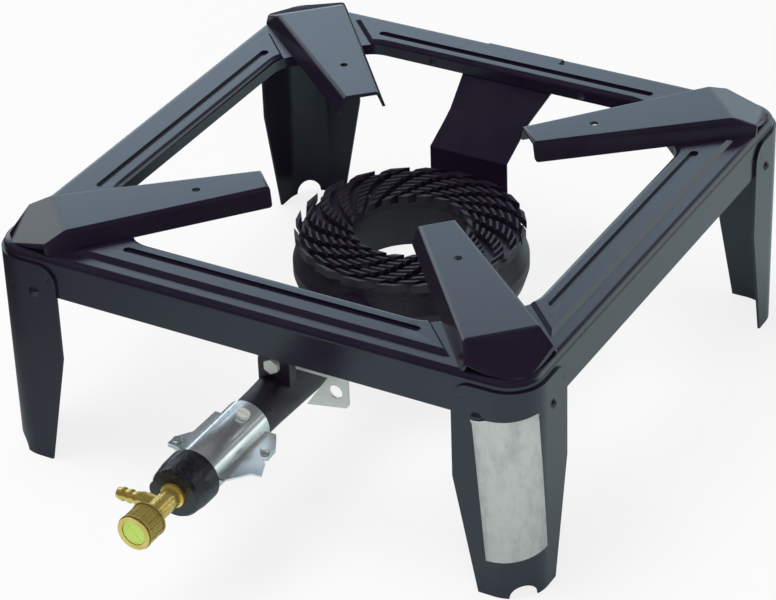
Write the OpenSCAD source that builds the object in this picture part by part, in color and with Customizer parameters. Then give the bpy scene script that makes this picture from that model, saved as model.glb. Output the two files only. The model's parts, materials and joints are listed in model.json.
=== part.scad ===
// Portable gas boiling ring. A pressed steel stand on four angle legs carries four pan supports
// on its diagonals. A cast ring burner hangs inside it between a rear strap and a front bracket,
// and its mixing tube runs out under the front rail to an air sleeve and a brass needle valve.
// Origin: on the floor under the middle of the whole part. +Z is up, the valve is towards -Y.

/* [Stand] */
// Side of the square stand over its skirt
stand_w = 400; // [380:5:440]
// Height of the frame's ledge above the floor
frame_z = 164; // [150:1:200]
// Depth of the outer skirt below the ledge
skirt_h = 30; // [24:1:34]
// Depth of the ears behind the legs, below the skirt
ear_drop = 13; // [11:1:16]
// Width of each ear from the stand's outer corner
ear_w = 46; // [42:1:50]
// Thickness of the pressed sheet
sheet_t = 1.5; // [1:0.1:2]
// Radius of the stand's corners in plan
corner_r = 24; // [18:1:28]
// Radius between the skirt and the ledge
shoulder_r = 5; // [3:0.5:8]
// Width of each rail
rail_w = 40; // [38:1:44]
// Half length of the cut across each corner of the middle opening
valley_half = 36; // [34:0.5:40]
// Radius of the middle opening's corners
valley_r = 24; // [16:1:28]
// Depth of the flange round the middle opening
flange_h = 8; // [8:0.5:12]

/* [Rail panels] */
// Rise of the pressed panels above the ledge
panel_rise = 3; // [2:0.5:4]
// Ledge left outside each panel
panel_inset = 13; // [10:0.5:14]
// Distance from a panel's end to the stand's diagonal
panel_gap = 33; // [32.5:0.5:36]
// Run of a panel's sloped sides
panel_run = 2.5; // [1:0.5:4]
// Radius of the rolled inner edge
edge_r = 4; // [3:0.5:6]
// Width of the stiffening groove
groove_w = 6; // [4:0.5:7]
// Depth of the stiffening groove
groove_d = 2; // [1:0.5:2.5]
// Length of the stiffening groove
groove_len = 222; // [160:2:230]
// Distance of the groove's middle from the skirt's face
groove_inset = 28; // [26:0.5:29]
// Width of the plain pad in the middle of the rear rail
pad_w = 60; // [30:2:100]

/* [Pan supports] */
// Height of the plane that the pan stands on
pan_z = 177; // [172:1:215]
// Distance of a support's tip from the middle
arm_tip_d = 93; // [80:1:110]
// Distance of a support's bend line from the middle
arm_bend_d = 235; // [230:1:238]
// Width of the flat top at the tip
arm_tip_w = 25; // [20:1:30]
// Width of the flat top at the bend line
arm_bend_w = 51; // [46:1:52]
// Outward lean of the side flanges over their height
arm_lean = 5; // [3:0.5:5.5]
// Distance of the support's nose from the middle
arm_nose_d = 268; // [260:1:270]
// Half width of the support's nose
arm_nose_half = 9; // [7:0.5:12]
// Thickness of the support's sheet
arm_t = 2; // [1.5:0.1:2.5]
// Radius of the hole near the tip
arm_hole_r = 2.8; // [2:0.2:4]
// Distance of the hole from the middle
arm_hole_d = 141; // [130:1:150]

/* [Legs] */
// Width of each leg face at the top
leg_w = 54; // [50:1:58]
// Width of each leg face at the floor
leg_foot_w = 37; // [30:1:44]
// Height at which the free edge starts to taper
leg_kink_z = 86; // [60:1:100]
// Step from the ledge down to the leg's top edge
leg_drop = 7; // [6:0.5:10]
// Radius of the leg's upper corner
leg_top_r = 13; // [8:1:16]
// Thickness of the leg's sheet
leg_t = 1.8; // [1.5:0.1:2.5]
// Radius of the notch under the fold
notch_r = 9.5; // [6:0.5:13]
// Distance of a rivet from the stand's corner
rivet_in = 36; // [32:1:38]
// Height of the rivets below the skirt's edge, negative above it
rivet_drop = -1; // [-4:0.5:3]
// Radius of the rivet shanks
rivet_r = 2; // [1.5:0.1:2.5]
// Radius of the rivet heads
rivet_head_r = 4; // [3.5:0.1:5]
// Radius of the smaller rivet heads on the rolled edge
edge_head_r = 3; // [2.6:0.1:3.2]

/* [Burner] */
// Distance of the burner's middle behind the stand's middle
burner_y = 14; // [10:0.5:15]
// Height of the burner's floor
burner_z = 74; // [70:0.5:80]
// Height of the burner over its ridges
burner_h = 41; // [38:1:50]
// Largest radius of the bowl
bowl_r = 83; // [81:0.5:86]
// Step from the bowl's largest radius in to its rim
rim_step = 4.5; // [3:0.5:6]
// Radius of the hole in the middle
hole_r = 42; // [38:0.5:44]
// Thickness of the cast walls
cast_t = 4; // [3:0.5:5]
// Number of spiral ridges
ridge_count = 20; // [16:1:22]
// Height of the spiral ridges
ridge_h = 4.5; // [3:0.5:6]
// Thickness of the head's plate
head_t = 5; // [4:0.5:7]
// Radial pitch of the ring grooves that cut the ridges into beads
bead_pitch = 4.6; // [4:0.1:6]

/* [Mixing tube] */
// Height of the tube's axis
axis_z = 83.5; // [82:0.5:90]
// Outer radius of the tube under the sleeve
tube_r = 15; // [14:0.5:16]
// Outer radius of the tube where it meets the bowl
tube_flare_r = 19; // [17:0.5:20]
// Bore radius of the tube
tube_bore_r = 11; // [9:0.5:11.5]
// Distance of the tube's open end from the stand's middle
tube_end = 268.5; // [264:0.5:280]
// Length of the air ports
port_len = 16; // [10:1:18]
// Half width of the air ports
port_half = 5; // [3:0.5:6]

/* [Brackets] */
// Thickness of the bracket steel
bracket_t = 2; // [1.5:0.1:2.5]
// Width of the rear strap
strap_w = 62; // [50:1:64]
// Width of the rear strap where it leaves the rail
strap_top_w = 72; // [66:1:80]
// Width of the rear strap's head behind the rail
strap_head_w = 140; // [136:1:150]
// Height of the rear strap's bend
strap_bend_z = 127; // [120:1:132]
// Reach of the front bracket's ear to the right of the tube
front_reach = 51; // [46:1:56]
// Height of the front bracket's lower edge
front_low_z = 83; // [80:1:86]
// Radius of the spare hole in the front bracket
spare_hole_r = 5; // [3:0.5:6]
// Radius of the bracket screws
screw_r = 3; // [2.5:0.5:3]

/* [Air sleeve] */
// Length of the air sleeve
sleeve_len = 64; // [60:1:66]
// Running clearance of the sleeve on the tube
sleeve_gap = 0.3; // [0.2:0.05:0.5]
// Thickness of the sleeve's sheet
sleeve_t = 1.4; // [1:0.1:1.8]
// Distance of the sleeve's front rim from the tube's end
sleeve_over = 2; // [1:0.5:3]
// Travel of the sleeve towards the burner
sleeve_travel = 18; // [10:1:19]
// Reach of the sleeve's ears from its axis
ear_reach = 33; // [31:0.5:36]
// Reach of the finger wing from the sleeve's axis
wing_reach = 40; // [36:0.5:44]

/* [Valve] */
// Largest radius of the black jet holder
nose_r = 19; // [17.5:0.5:20]
// Length of the jet holder in front of the tube
nose_len = 27; // [25:1:30]
// Radius of the valve's body
valve_r = 7; // [6.5:0.5:8]
// Length of the valve's body
valve_len = 22.5; // [20:0.5:26]
// Radius of the knob
knob_r = 12.2; // [11:0.2:13]
// Length of the knob
knob_len = 20; // [16:1:24]
// Number of grips round the knob
knurl_count = 36; // [24:2:44]
// Radius of the hose barb's crests
barb_r = 4.6; // [4:0.1:5]
// Distance of the hose barb's tip from the valve's axis
barb_reach = 32.5; // [32:0.5:40]
// Pitch of the valve stem's thread
stem_pitch = 1.5; // [1:0.25:2]

/* [Hidden] */
$fn = 64;
black = [0.09, 0.10, 0.12];
iron = [0.13, 0.12, 0.13];
zinc = [0.72, 0.73, 0.70];
chrome = [0.80, 0.82, 0.83];
brass = [0.78, 0.62, 0.28];
lime = [0.70, 0.90, 0.30];
rubber = [0.10, 0.10, 0.10];
// Overrun of cutting tools, and lap of joined parts of one piece
cut = 1;
lap = 0.5;
// Clearance between seated pieces, and of a shank in its hole
seat = 0.1;

half = stand_w / 2;
bowl_rim_r = bowl_r - rim_step;
skirt_z = frame_z - skirt_h;
ear_z = skirt_z - ear_drop;
open_half = half - rail_w;
open_cut = open_half * sqrt(2) - valley_half;
panel_z = frame_z + panel_rise;
flange_z = frame_z - flange_h;
leg_in = half + seat;
leg_out = leg_in + leg_t;
nut_len = 3.6;
knob_front = tube_end + nose_len + valve_len + nut_len + knob_len + 3 * seat;
head_rise = rivet_head_r / 2;
// Shift that brings the middle of the whole part over the origin
shift_y = (knob_front - leg_out - head_rise) / 2;

module placed() { translate([0, shift_y, 0]) children(); }

// Turns a profile of (outward, up) points into a bar along X on the front side
module along_front(length) {
    translate([0, -half, 0]) rotate([90, 0, -90]) linear_extrude(height = length, center = true)
        children();
}

// Turns a profile of (along, up) points at the stand's middle into a bar across Y
module across(depth) {
    rotate([90, 0, 0]) linear_extrude(height = depth, center = true) children();
}

// Cylinder along -Y whose rear face is at distance d in front of the stand's middle
module out_front(d, length, r) {
    translate([0, -d, axis_z]) rotate([90, 0, 0]) cylinder(r = r, h = length);
}

module rounded_square(h, r) {
    square([2 * h, 2 * (h - r)], center = true);
    square([2 * (h - r), 2 * h], center = true);
    for (x = [-1, 1], y = [-1, 1]) translate([x * (h - r), y * (h - r)]) circle(r = r);
}

// The middle opening: a square with its corners cut and rounded, grown outwards where asked
module opening(grow) {
    h = open_half + grow;
    r = valley_r + grow;
    t = r * tan(22.5);
    c = (open_cut + grow) * sqrt(2) - h - t;
    s = t + t / sqrt(2);
    polygon([for (a = [0:90:270], p = [[h, c], [h - s + t, c + s], [c + s, h - s + t], [c, h]])
        [p[0] * cos(a) - p[1] * sin(a), p[0] * sin(a) + p[1] * cos(a)]]);
    for (a = [0:90:270], p = [[h - r, c], [c, h - r]]) rotate(a) translate(p) circle(r = r);
}

// Top frame

module skirt_profile() {
    translate([-sheet_t, ear_z]) square([sheet_t, frame_z - shoulder_r - ear_z]);
    translate([-shoulder_r, frame_z - shoulder_r]) intersection() {
        difference() {
            circle(r = shoulder_r);
            circle(r = shoulder_r - sheet_t);
        }
        square(shoulder_r);
    }
    translate([-shoulder_r - lap, frame_z - sheet_t]) square([lap, sheet_t]);
}

module skirt() {
    difference() {
        for (side = [0:3]) rotate(90 * side) {
            along_front(stand_w - 2 * corner_r) skirt_profile();
            translate([half - corner_r, corner_r - half, 0]) rotate(-90)
                rotate_extrude(angle = 90) translate([corner_r, 0]) skirt_profile();
        }
        for (side = [0, 1]) rotate(90 * side)
            translate([ear_w - half, -half - cut, ear_z - cut])
                cube([stand_w - 2 * ear_w, stand_w + 2 * cut, ear_drop + cut]);
    }
}

// Section of a raised panel at its rolled inner edge, measured outwards from the opening
module edge_profile(inset, low) {
    top = panel_z - inset;
    polygon([[inset, low], [inset, panel_z - edge_r], [edge_r, top], [2 * rail_w, top], [2 * rail_w, low]]);
    translate([edge_r, panel_z - edge_r]) circle(r = edge_r - inset);
}

// The same section along the front side of the opening and round its two corners
module panel_inner(inset, low) {
    straight = open_cut * sqrt(2) - open_half - valley_r * tan(22.5);
    along_front(2 * straight) translate([-rail_w, 0]) edge_profile(inset, low);
    for (side = [0, 1]) mirror([side, 0, 0]) translate([straight, valley_r - open_half, 0]) rotate(-90)
        rotate_extrude(angle = 45) translate([valley_r, 0]) edge_profile(inset, low);
}

// Sloped outer side of a panel or of the pad
module slope_profile(inset, low, outer, inner) {
    top = frame_z - inset + 2 * panel_rise;
    polygon([[-outer - inset, low - cut], [-outer - inset, frame_z - inset],
        [-outer - inset - 2 * panel_run, top], [-inner, top], [-inner, low - cut]]);
}

module panel_end_profile(inset, low) {
    gap = panel_gap + inset;
    polygon([[gap, low - cut], [gap, frame_z - inset], [gap + 2 * panel_run, frame_z - inset + 2 * panel_rise],
        [stand_w, frame_z - inset + 2 * panel_rise], [stand_w, low - cut]]);
}

// A raised panel between its two diagonal ends
module panel_solid(inset, low, padded) {
    intersection() {
        panel_inner(inset, low);
        union() {
            along_front(stand_w) slope_profile(inset, low, panel_inset, 2 * rail_w);
            if (padded) along_front(pad_w - 2 * inset) slope_profile(inset, low, shoulder_r, 2 * rail_w);
        }
        rotate(-45) across(2 * stand_w) panel_end_profile(inset, low);
        rotate(-135) across(2 * stand_w) panel_end_profile(inset, low);
    }
}

module groove_slot(grow, bottom) {
    w = groove_w / 2 + grow;
    run = groove_len / 2 - groove_w / 2;
    translate([0, groove_inset - half, bottom]) linear_extrude(height = panel_z - bottom + cut) {
        square([2 * run, 2 * w], center = true);
        for (x = [-run, run]) translate([x, 0]) circle(r = w);
    }
}

module top_frame() {
    groove_z = panel_z - groove_d;
    color(black) placed() difference() {
        union() {
            skirt();
            translate([0, 0, frame_z - sheet_t]) linear_extrude(height = sheet_t)
                rounded_square(half - shoulder_r, corner_r - shoulder_r);
            translate([0, 0, flange_z]) linear_extrude(height = flange_h)
                opening(sheet_t);
            for (side = [0:3]) rotate(90 * side) difference() {
                panel_solid(0, frame_z - sheet_t, side == 2);
                groove_slot(0, groove_z);
            }
        }
        translate([0, 0, flange_z - cut]) linear_extrude(height = panel_z - flange_z + 2 * cut)
            opening(0);
        for (side = [0:3]) rotate(90 * side) difference() {
            panel_solid(sheet_t, flange_z - cut, side == 2);
            groove_slot(sheet_t, groove_z - sheet_t);
        }
        rivet_bores();
        strap_rivet_places() rotate([90, 0, 0]) cylinder(r = rivet_r + seat, h = flange_h, center = true);
        front_rivet_places() rotate([90, 0, 0]) cylinder(r = rivet_r + seat, h = flange_h, center = true);
    }
}

// Pan supports

module arm_half_space(side, inset) {
    spread = atan2((arm_bend_w - arm_tip_w) / 2, arm_bend_d - arm_tip_d);
    tilt = atan2(arm_lean, pan_z - frame_z);
    mirror([0, side > 0 ? 0 : 1, 0]) translate([arm_tip_d, arm_tip_w / 2, pan_z])
        rotate([0, 0, spread]) rotate([tilt, 0, 0])
            translate([-stand_w, -stand_w - inset, -stand_w]) cube([2 * stand_w, stand_w, 2 * stand_w]);
}

module arm_solid(inset, tip, low) {
    fall = atan2(pan_z - frame_z, arm_nose_d - arm_bend_d);
    intersection() {
        translate([tip, -half, low]) cube([half, stand_w, pan_z - inset - low]);
        arm_half_space(1, inset);
        arm_half_space(-1, inset);
        translate([arm_bend_d, 0, pan_z]) rotate([0, fall, 0])
            translate([-stand_w, -half, -stand_w - inset]) cube([2 * stand_w, stand_w, stand_w]);
    }
}

module arm_plan() {
    wide = arm_bend_w / 2 + 2 * arm_lean;
    shoulder = arm_bend_d + arm_lean + arm_lean;
    translate([arm_tip_d, -wide]) square([shoulder - arm_tip_d, 2 * wide]);
    polygon([[shoulder - lap, -wide], [shoulder, -wide], [arm_nose_d, -arm_nose_half],
        [arm_nose_d, arm_nose_half], [shoulder, wide], [shoulder - lap, wide]]);
}

module pan_support(angle) {
    color(black) placed() rotate(angle) difference() {
        intersection() {
            difference() {
                arm_solid(0, arm_tip_d, frame_z);
                arm_solid(arm_t, arm_tip_d - cut, frame_z - cut);
            }
            translate([0, 0, frame_z - cut]) linear_extrude(height = pan_z - frame_z + 2 * cut)
                arm_plan();
        }
        translate([arm_hole_d, 0, frame_z]) cylinder(r = arm_hole_r, h = pan_z);
    }
}

// Legs

module leg_outline() {
    top = frame_z - leg_drop;
    polygon([[-cut, 0], [leg_foot_w, 0], [leg_w, leg_kink_z], [leg_w, top - leg_top_r],
        [leg_w - leg_top_r, top], [-cut, top]]);
    translate([leg_w - leg_top_r, top - leg_top_r]) circle(r = leg_top_r);
}

module leg_blank() {
    centre = half - corner_r;
    linear_extrude(height = frame_z - leg_drop) {
        translate([centre, -centre]) intersection() {
            difference() {
                circle(r = corner_r + seat + leg_t);
                circle(r = corner_r + seat);
            }
            translate([0, -half]) square(half);
        }
        translate([leg_out - leg_w, -leg_out]) square([leg_w + centre - leg_out, leg_t]);
        translate([leg_in, -centre]) square([leg_t, leg_w + centre - leg_out]);
    }
}

module leg(turns) {
    color(black) placed() rotate(90 * turns) difference() {
        intersection() {
            leg_blank();
            translate([leg_out, 0, 0]) mirror([1, 0, 0]) across(3 * half) leg_outline();
            translate([0, -leg_out, 0]) rotate(90) across(3 * half) leg_outline();
        }
        translate([leg_in, -leg_in, 0]) rotate([0, 90, -45])
            cylinder(r = notch_r, h = 4 * corner_r, center = true);
        rivet_places() cylinder(r = rivet_r + seat, h = 4 * sheet_t + leg_t, center = true);
    }
}

// Both rivet axes of the front right leg, pointing out of the faces
module rivet_places() {
    z = skirt_z - rivet_drop;
    translate([leg_out - rivet_in, -half, z]) rotate([90, 0, 0]) children();
    translate([half, rivet_in - leg_out, z]) rotate([0, 90, 0]) children();
}

module rivet_bores() {
    for (turns = [0:3]) rotate(90 * turns) rivet_places()
        cylinder(r = rivet_r + seat, h = 4 * sheet_t + leg_t, center = true);
}

// Rivet through a stack from z = -inner to z = outer, with a domed head and an upset tail
module rivet(inner, outer, head_r) {
    dome = head_r / 2;
    ball_r = (dome * dome + head_r * head_r) / (2 * dome);
    translate([0, 0, -inner - dome / 2])
        cylinder(r = rivet_r, h = inner + outer + dome / 2 + lap);
    translate([0, 0, outer]) rotate_extrude() intersection() {
        translate([0, dome - ball_r]) circle(r = ball_r);
        square([head_r, dome]);
    }
    translate([0, 0, -inner - dome / 2]) cylinder(r = head_r - rivet_r / 4, h = dome / 2);
}

module leg_rivets() {
    color(black) placed() for (turns = [0:3]) rotate(90 * turns) rivet_places()
        rivet(sheet_t, seat + leg_t, rivet_head_r);
}

// Rear strap

strap_off = 3;
strap_y = burner_y + bowl_r + strap_off;
strap_back = open_half + sheet_t + seat;
head_low = flange_z + lap;
foot_len = 24;
strap_flare = 14;
strap_foot_y = burner_y + bowl_r - foot_len;
strap_screw_x = 16;
strap_rivet_x = 60;
rivet_z = (flange_z + panel_z - edge_r) / 2;

module strap_rivet_places() {
    for (x = [-1, 1]) translate([x * strap_rivet_x, open_half + sheet_t / 2, rivet_z]) children();
}

// Side view of the strap from its foot to its head, as points of (y, z)
module strap_side() {
    t = bracket_t;
    foot = burner_z - seat;
    lean = atan2(flange_z - seat - strap_bend_z, strap_back - strap_y);
    k = t * tan(lean / 2);
    j = t * tan((90 - lean) / 2);
    polygon([[strap_foot_y, foot], [strap_y, foot], [strap_y, strap_bend_z],
        [strap_back, flange_z - seat], [strap_back, panel_z - edge_r],
        [strap_back + t, panel_z - edge_r], [strap_back + t, flange_z - seat - j],
        [strap_y + t, strap_bend_z - j], [strap_y + t, foot - t], [strap_foot_y, foot - t]]);
}

module strap_front() {
    w = strap_w / 2;
    tw = strap_top_w / 2;
    hw = strap_head_w / 2;
    polygon([[-w, 0], [w, 0], [w, flange_z - strap_flare], [tw, flange_z], [tw, head_low], [hw, head_low],
        [hw, panel_z], [-hw, panel_z], [-hw, head_low], [-tw, head_low], [-tw, flange_z],
        [-w, flange_z - strap_flare]]);
}

module rear_strap() {
    color(black) placed() difference() {
        intersection() {
            rotate([90, 0, 90]) linear_extrude(height = strap_head_w, center = true) strap_side();
            across(3 * half) strap_front();
        }
        strap_rivet_places() rotate([90, 0, 0])
            cylinder(r = rivet_r + seat, h = flange_h, center = true);
        for (x = [-1, 1]) translate([x * strap_screw_x, strap_foot_y + foot_len / 2, 0])
            cylinder(r = screw_r + seat, h = burner_z + cut);
    }
}

module rear_strap_rivets() {
    color(black) placed() strap_rivet_places() rotate([90, 0, 0])
        rivet(sheet_t / 2 + seat + bracket_t, sheet_t / 2, edge_head_r);
}

// Hexagon head screw pointing up its own +Z, with the head's face on z = 0
module hex_screw(r, length) {
    rotate(30) translate([0, 0, -1.4 * r]) cylinder(r = 1.9 * r, h = 1.4 * r, $fn = 6);
    translate([0, 0, -lap]) cylinder(r = r, h = length + lap);
}

module hex_nut(r, height) {
    difference() {
        cylinder(r = 1.9 * r, h = height, $fn = 6);
        translate([0, 0, -cut]) cylinder(r = r + seat, h = height + 2 * cut);
    }
}

screw_depth = 9;

module rear_strap_screws() {
    color(zinc) placed() for (x = [-1, 1])
        translate([x * strap_screw_x, strap_foot_y + foot_len / 2, burner_z - seat - bracket_t])
            hex_screw(screw_r, bracket_t + screw_depth - cut);
}

// Burner

boss_r = 7;
rim_z = burner_z + burner_h - ridge_h - head_t;
head_screw_count = 3;

function on_ring(r, a) = [r * cos(a), r * sin(a)];

module bowl_profile(inset) {
    waist = rim_z - burner_z;
    polygon([[hole_r + inset, inset], [bowl_r - 2 * sheet_t - inset, inset],
        [bowl_r - inset, 0.3 * waist + inset], [bowl_r - inset, 0.55 * waist],
        [bowl_rim_r - inset, waist + (inset > 0 ? cut : 0)],
        [hole_r + inset, waist + (inset > 0 ? cut : 0)]]);
}

spigot_len = 4;
jet_r = 4;
port_mid = tube_end - spigot_len - cut - port_len / 2;
mid_r = (hole_r + bowl_rim_r) / 2;
tube_y0 = burner_y - mid_r;
sleeve_front = tube_end + sleeve_over;
sleeve_back = sleeve_front - sleeve_len;
flare_y = sleeve_back - sleeve_travel - cut;
lug_y = -open_half - sheet_t - 2 * seat - bracket_t;
lug_t = 8;
lug_half = 12;
lug_rise = 22;
lug_top = axis_z + tube_r + lug_rise;
front_screw_z = lug_top - lug_half;

module tube_shape(grow) {
    r = grow > 0 ? tube_r : tube_bore_r;
    f = grow > 0 ? tube_flare_r : tube_flare_r - cast_t;
    end = tube_end + (grow > 0 ? 0 : cut);
    translate([0, 0, axis_z]) rotate([90, 0, 0]) rotate_extrude()
        polygon([[0, -tube_y0], [f, -tube_y0], [f, bowl_r - burner_y], [r, flare_y], [r, end], [0, end]]);
}

module screw_bosses(r, bottom, height) {
    for (x = [-1, 1]) translate([x * strap_screw_x, strap_foot_y + foot_len / 2, bottom])
        cylinder(r = r, h = height);
    for (i = [0:head_screw_count - 1]) rotate_about_burner(360 / head_screw_count * i + 30)
        translate([mid_r, 0, bottom]) cylinder(r = r, h = height);
}

module rotate_about_burner(a) { translate([0, burner_y, 0]) rotate(a) children(); }

module burner_bowl() {
    color(iron) placed() difference() {
        union() {
            difference() {
                union() {
                    translate([0, burner_y, burner_z]) rotate_extrude($fn = 128) bowl_profile(0);
                    tube_shape(1);
                }
                translate([0, burner_y, burner_z]) rotate_extrude($fn = 128) bowl_profile(cast_t);
                tube_shape(0);
                translate([0, burner_y, 0]) cylinder(r = hole_r, h = frame_z);
            }
            screw_bosses(boss_r, burner_z + cast_t - lap, screw_depth);
            difference() {
                union() {
                    translate([-lug_half, lug_y - lug_t, axis_z])
                        cube([2 * lug_half, lug_t, lug_top - axis_z - lug_half]);
                    translate([0, lug_y, lug_top - lug_half]) rotate([90, 0, 0]) cylinder(r = lug_half, h = lug_t);
                }
                translate([0, 0, axis_z]) rotate([90, 0, 0]) cylinder(r = tube_bore_r + cast_t / 2, h = half);
            }
        }
        screw_bosses(screw_r + seat, burner_z - cut, cast_t + screw_depth + 2 * cut);
        translate([0, lug_y + cut, front_screw_z]) rotate([90, 0, 0])
            cylinder(r = screw_r + seat, h = lug_t + 2 * cut);
        for (side = [0, 180]) translate([0, -port_mid, axis_z]) rotate([0, side, 0])
            translate([tube_bore_r / 2, -port_len / 2, -port_half])
                cube([tube_r, port_len, 2 * port_half]);
    }
}

// Head: a dished plate with spiral ridges that overhang both rims

ridge_lip = 2;
ridge_eaves = 2.5;
ridge_in = hole_r - ridge_lip;
ridge_out = bowl_rim_r + ridge_eaves;
ridge_steps = 9;
// Sweep of a ridge from its inner end to its outer end, clockwise seen from above
ridge_sweep = 56;
ridge_fill_share = 0.55;
bead_depth = 2.6;
bead_count = floor((ridge_out - ridge_in) / bead_pitch);
head_fall = 1.5;

function ridge_angle(s) = -ridge_sweep * (0.62 * s + 0.38 * (s * s * s * 4 - s * s * 6 + s * 3));
function ridge_radius(s) = ridge_in + (ridge_out - ridge_in) * s;

module ridge_plan() {
    w = 180 / ridge_count * ridge_fill_share;
    side = [for (i = [0:ridge_steps]) i / ridge_steps];
    polygon(concat(
        [for (s = side) on_ring(ridge_radius(s), ridge_angle(s) - w)],
        [for (i = [ridge_steps:-1:0]) let (s = side[i]) on_ring(ridge_radius(s), ridge_angle(s) + w)]));
}

module head_profile() {
    lip = cast_t - seat;
    polygon([[hole_r + cast_t + seat, -lip], [hole_r + cast_t + seat + lip, -lip],
        [hole_r + cast_t + seat + lip, 0], [bowl_rim_r - 2 * cast_t, 0], [bowl_rim_r - 2 * cast_t, -lip],
        [bowl_rim_r - cast_t - seat - cut, -lip], [bowl_rim_r - cast_t - seat - cut, seat],
        [bowl_rim_r, seat], [bowl_rim_r - head_fall, head_t], [hole_r, head_t - head_fall], [hole_r, seat],
        [hole_r + cast_t + seat, seat]]);
}

module bead_groove() {
    w = bead_pitch / 3;
    polygon([[-w, seat], [0, -bead_depth], [w, seat]]);
}

module burner_head() {
    color(iron) placed() translate([0, burner_y, rim_z]) difference() {
        union() {
            rotate_extrude($fn = 128) head_profile();
            for (i = [0:ridge_count - 1]) rotate(360 / ridge_count * i)
                translate([0, 0, head_t - 3 * lap]) linear_extrude(height = ridge_h + 3 * lap) ridge_plan();
        }
        for (i = [0:head_screw_count - 1]) rotate(360 / head_screw_count * i + 30)
            translate([mid_r, 0, -cut]) cylinder(r = screw_r - seat, h = cut + head_t);
        for (i = [1:bead_count]) rotate_extrude($fn = 128)
            translate([ridge_in + bead_pitch * i, head_t + ridge_h]) bead_groove();
    }
}

module burner_head_screws() {
    color(zinc) placed() for (i = [0:head_screw_count - 1])
        rotate_about_burner(360 / head_screw_count * i + 30)
            translate([mid_r, 0, burner_z - seat]) hex_screw(screw_r - 2 * seat, rim_z - burner_z + head_t - cut);
}

// Front bracket

front_y = -open_half - sheet_t - seat;
front_rivet_x = [10, 42];
plate_corner_r = 4;
ear_tip_x = tube_flare_r;
ear_tip_z = axis_z - tube_bore_r / 2;
ear_root_x = 36;
ear_root_z = axis_z + tube_flare_r + cut;
spare_x = 41.5;
spare_z = 94;

module front_rivet_places() {
    for (x = front_rivet_x) translate([x, -open_half - sheet_t / 2, rivet_z]) children();
}

// Head along the rail, a strap down to the tube's lug and a slanted ear beside the tube
module front_plate() {
    top = panel_z - edge_r;
    r = plate_corner_r;
    polygon([[-lug_half, top], [-lug_half, front_screw_z], [lug_half, front_screw_z],
        [lug_half, ear_root_z], [ear_root_x, ear_root_z], [ear_tip_x, ear_tip_z],
        [front_reach - r, front_low_z], [front_reach, front_low_z + r], [front_reach, top]]);
    translate([front_reach - r, front_low_z + r]) circle(r = r);
    difference() {
        translate([0, front_screw_z]) circle(r = lug_half);
        translate([0, axis_z]) circle(r = tube_flare_r);
    }
}

module front_bracket() {
    color(zinc) placed() difference() {
        translate([0, front_y - bracket_t / 2, 0]) across(bracket_t) front_plate();
        translate([spare_x, front_y, spare_z]) rotate([90, 0, 0]) cylinder(r = spare_hole_r, h = flange_h, center = true);
        translate([0, front_y, front_screw_z]) rotate([90, 0, 0]) cylinder(r = screw_r + seat, h = flange_h, center = true);
        front_rivet_places() rotate([90, 0, 0]) cylinder(r = rivet_r + seat, h = flange_h, center = true);
    }
}

module front_bracket_rivets() {
    color(zinc) placed() front_rivet_places() rotate([-90, 0, 0])
        rivet(sheet_t / 2 + seat + bracket_t, sheet_t / 2, edge_head_r);
}

module front_bracket_screw() {
    color(zinc) placed() translate([0, lug_y - lug_t - seat, front_screw_z]) rotate([-90, 0, 0])
        hex_screw(screw_r, lug_t + bracket_t + 3 * screw_r);
}

module front_bracket_nut() {
    color(zinc) placed() translate([0, front_y + seat, front_screw_z]) rotate([-90, 0, 0])
        hex_nut(screw_r, 1.6 * screw_r);
}

// Air sleeve

sleeve_in = tube_r + sleeve_gap;
sleeve_out = sleeve_in + sleeve_t;
sleeve_mid = sleeve_front - sleeve_len / 2;
split = 0.4;
clamp_r = 1.6;
left_start = 7;
left_ear = [17, 26, 36, 45];
left_w = 8;
right_start = 5;
right_ear = [5, 19, 30, 34];
wing_run = [27, 36, 49, 63];
ear_in = 5;
lock_r = 2;
lock_head_r = 4.6;
lock_head_t = 2.8;
lock_slot_w = 1;
lock_turn = 20;
lock_back = 14;
lock_y = sleeve_back + lock_back;

module sleeve_half_shell() {
    intersection() {
        difference() {
            out_front(sleeve_back, sleeve_len, sleeve_out);
            out_front(sleeve_back - cut, sleeve_len + 2 * cut, sleeve_in);
        }
        translate([-half, -stand_w, axis_z + split / 2]) cube([stand_w, stand_w, half]);
    }
}

// Flat flange along the split with its ear, on the left and on the right of the tube
module left_flange() {
    root = sleeve_in + sleeve_t / 2;
    rim = sleeve_out + left_w;
    translate([0, -sleeve_back]) polygon([[-root, 0], [-rim, 0], [-rim - lap, -left_ear[1]],
        [lap - ear_reach, -left_ear[2]], [-ear_reach, -left_ear[3] + lap],
        [-rim, -left_ear[3] - lap], [-root, -left_ear[3] - ear_in]]);
}

module right_flange() {
    root = sleeve_in + sleeve_t / 2;
    translate([0, -sleeve_back]) polygon([[root, -right_start], [sleeve_out + left_w, -right_start],
        [ear_reach - lap, -right_ear[1]], [ear_reach, -right_ear[2]],
        [sleeve_out + left_w, -right_ear[3]], [root, -right_ear[3]]]);
}

module clamp_places() {
    translate([ear_reach - ear_in, -sleeve_back - (right_ear[1] + right_ear[2]) / 2, axis_z])
        children();
    translate([ear_in - ear_reach, -sleeve_back - (left_ear[2] + left_ear[3]) / 2, axis_z])
        children();
}

module finger_wing() {
    root = sleeve_in + sleeve_t / 2;
    translate([0, -sleeve_back]) polygon([[root, -wing_run[0]], [sleeve_out + left_w, -wing_run[0]],
        [wing_reach - ear_in, -wing_run[1]], [wing_reach, -wing_run[2]],
        [ear_reach, -wing_run[2] - lap], [sleeve_out + ear_in, -wing_run[3]], [root, -wing_run[3]]]);
}

module sleeve_half(winged) {
    sleeve_half_shell();
    translate([0, 0, axis_z + split / 2]) linear_extrude(height = sleeve_t) {
        left_flange();
        right_flange();
        if (winged) finger_wing();
    }
}

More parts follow.
